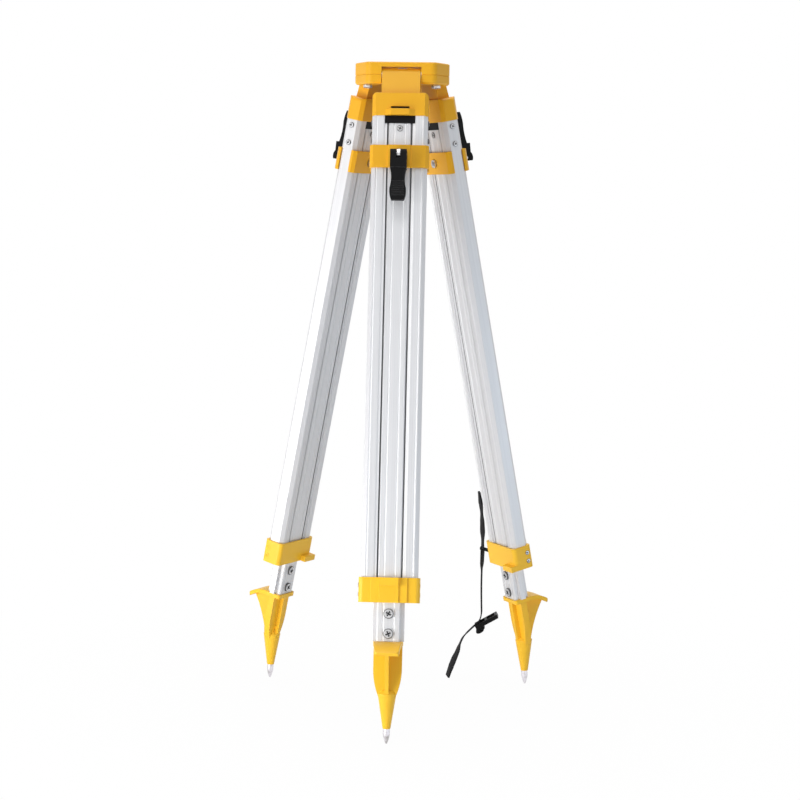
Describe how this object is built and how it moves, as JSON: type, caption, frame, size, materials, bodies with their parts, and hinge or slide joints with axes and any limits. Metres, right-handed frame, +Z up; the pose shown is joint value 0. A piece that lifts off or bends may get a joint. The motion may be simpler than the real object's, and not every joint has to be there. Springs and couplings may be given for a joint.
{
  "type": "flat head surveying tripod",
  "caption": "Flat head surveying tripod with telescoping aluminium legs, lever clamps, cast step feet with spikes, and a swinging fixing screw.",
  "frame": {"origin": "middle of the head's flat face, on the fixing screw's axis", "axes": "+Z up out of the flat face; the front leg stands towards -Y"},
  "size_m": [0.5014, 0.4589, 1.0146],
  "materials": {
    "yellow_paint": "semi-gloss",
    "aluminium": "satin",
    "zinc_steel": "bright",
    "spike_steel": "ground",
    "black_plastic": "satin",
    "webbing": "woven"
  },
  "bodies": {
    "head": {"head_plate": "yellow_paint", "pin_caps": "yellow_paint", "cap_screws": "zinc_steel", "hinge_pins": "zinc_steel", "arm_pivot": "zinc_steel"},
    "swing_arm": {"swing_arm": "zinc_steel"},
    "slot_bush": {"slot_bush": "black_plastic"},
    "thrust_washer": {"thrust_washer": "zinc_steel"},
    "fixing_screw": {"fixing_screw": "zinc_steel", "fixing_knob": "black_plastic"},
    "front_upper": {"front_hinge_block": "yellow_paint", "front_left_rail": "aluminium", "front_right_rail": "aluminium", "front_bottom_collar": "yellow_paint", "front_upper_screws": "zinc_steel"},
    "front_lower": {"front_inner_leg": "aluminium", "front_slide_cap": "black_plastic", "front_clamp_outer_plate": "yellow_paint", "front_clamp_inner_plate": "yellow_paint", "front_clamp_bolt": "zinc_steel", "front_lever_pin": "zinc_steel", "front_foot": "yellow_paint", "front_spike": "spike_steel", "front_lower_screws": "zinc_steel"},
    "front_lever": {"front_clamp_lever": "black_plastic"},
    "right_upper": {"right_hinge_block": "yellow_paint", "right_left_rail": "aluminium", "right_right_rail": "aluminium", "right_bottom_collar": "yellow_paint", "right_upper_screws": "zinc_steel", "strap_stud": "black_plastic", "strap_long_end": "webbing", "strap_short_end": "webbing", "strap_buckle": "black_plastic"},
    "right_lower": {"right_inner_leg": "aluminium", "right_slide_cap": "black_plastic", "right_clamp_outer_plate": "yellow_paint", "right_clamp_inner_plate": "yellow_paint", "right_clamp_bolt": "zinc_steel", "right_lever_pin": "zinc_steel", "right_foot": "yellow_paint", "right_spike": "spike_steel", "right_lower_screws": "zinc_steel"},
    "right_lever": {"right_clamp_lever": "black_plastic"},
    "left_upper": {"left_hinge_block": "yellow_paint", "left_left_rail": "aluminium", "left_right_rail": "aluminium", "left_bottom_collar": "yellow_paint", "left_upper_screws": "zinc_steel"},
    "left_lower": {"left_inner_leg": "aluminium", "left_slide_cap": "black_plastic", "left_clamp_outer_plate": "yellow_paint", "left_clamp_inner_plate": "yellow_paint", "left_clamp_bolt": "zinc_steel", "left_lever_pin": "zinc_steel", "left_foot": "yellow_paint", "left_spike": "spike_steel", "left_lower_screws": "zinc_steel"},
    "left_lever": {"left_clamp_lever": "black_plastic"}
  },
  "joints": [
    {"name": "arm_swing", "type": "hinge", "parent": "head", "child": "swing_arm", "pos_m": [0, 0.033, -0.0234], "axis": [0, 0, 1], "range_deg": [-18, 18]},
    {"name": "slot_slide", "type": "slide", "parent": "swing_arm", "child": "slot_bush", "axis": [0, 1, 0], "range_m": [-0.01, 0.01]},
    {"name": "screw_lift", "type": "slide", "parent": "slot_bush", "child": "thrust_washer", "axis": [0, 0, 1], "range_m": [0, 0.014]},
    {"name": "screw_turn", "type": "hinge", "parent": "thrust_washer", "child": "fixing_screw", "pos_m": [0, 0, -0.04], "axis": [0, 0, 1], "continuous": true},
    {"name": "front_leg_swing", "type": "hinge", "parent": "head", "child": "front_upper", "pos_m": [0, -0.048, -0.019], "axis": [-1, 0, 0], "range_deg": [-11.9, 23.1]},
    {"name": "front_leg_slide", "type": "slide", "parent": "front_upper", "child": "front_lower", "axis": [0, -0.2062, -0.9785], "range_m": [0, 0.6]},
    {"name": "front_lever_turn", "type": "hinge", "parent": "front_lower", "child": "front_lever", "pos_m": [0, -0.1104, -0.14152], "axis": [-1, 0, 0], "range_deg": [0, 175]},
    {"name": "right_leg_swing", "type": "hinge", "parent": "head", "child": "right_upper", "pos_m": [0.04157, 0.024, -0.019], "axis": [0.5, -0.866, 0], "range_deg": [-11.9, 23.1]},
    {"name": "right_leg_slide", "type": "slide", "parent": "right_upper", "child": "right_lower", "axis": [0.1786, 0.1031, -0.9785], "range_m": [0, 0.6]},
    {"name": "right_lever_turn", "type": "hinge", "parent": "right_lower", "child": "right_lever", "pos_m": [0.09561, 0.0552, -0.14152], "axis": [0.5, -0.866, 0], "range_deg": [-175, 0]},
    {"name": "left_leg_swing", "type": "hinge", "parent": "head", "child": "left_upper", "pos_m": [-0.04157, 0.024, -0.019], "axis": [0.5, 0.866, 0], "range_deg": [-11.9, 23.1]},
    {"name": "left_leg_slide", "type": "slide", "parent": "left_upper", "child": "left_lower", "axis": [-0.1786, 0.1031, -0.9785], "range_m": [0, 0.6]},
    {"name": "left_lever_turn", "type": "hinge", "parent": "left_lower", "child": "left_lever", "pos_m": [-0.09561, 0.0552, -0.14152], "axis": [0.5, 0.866, 0], "range_deg": [-175, 0]}
  ]
}
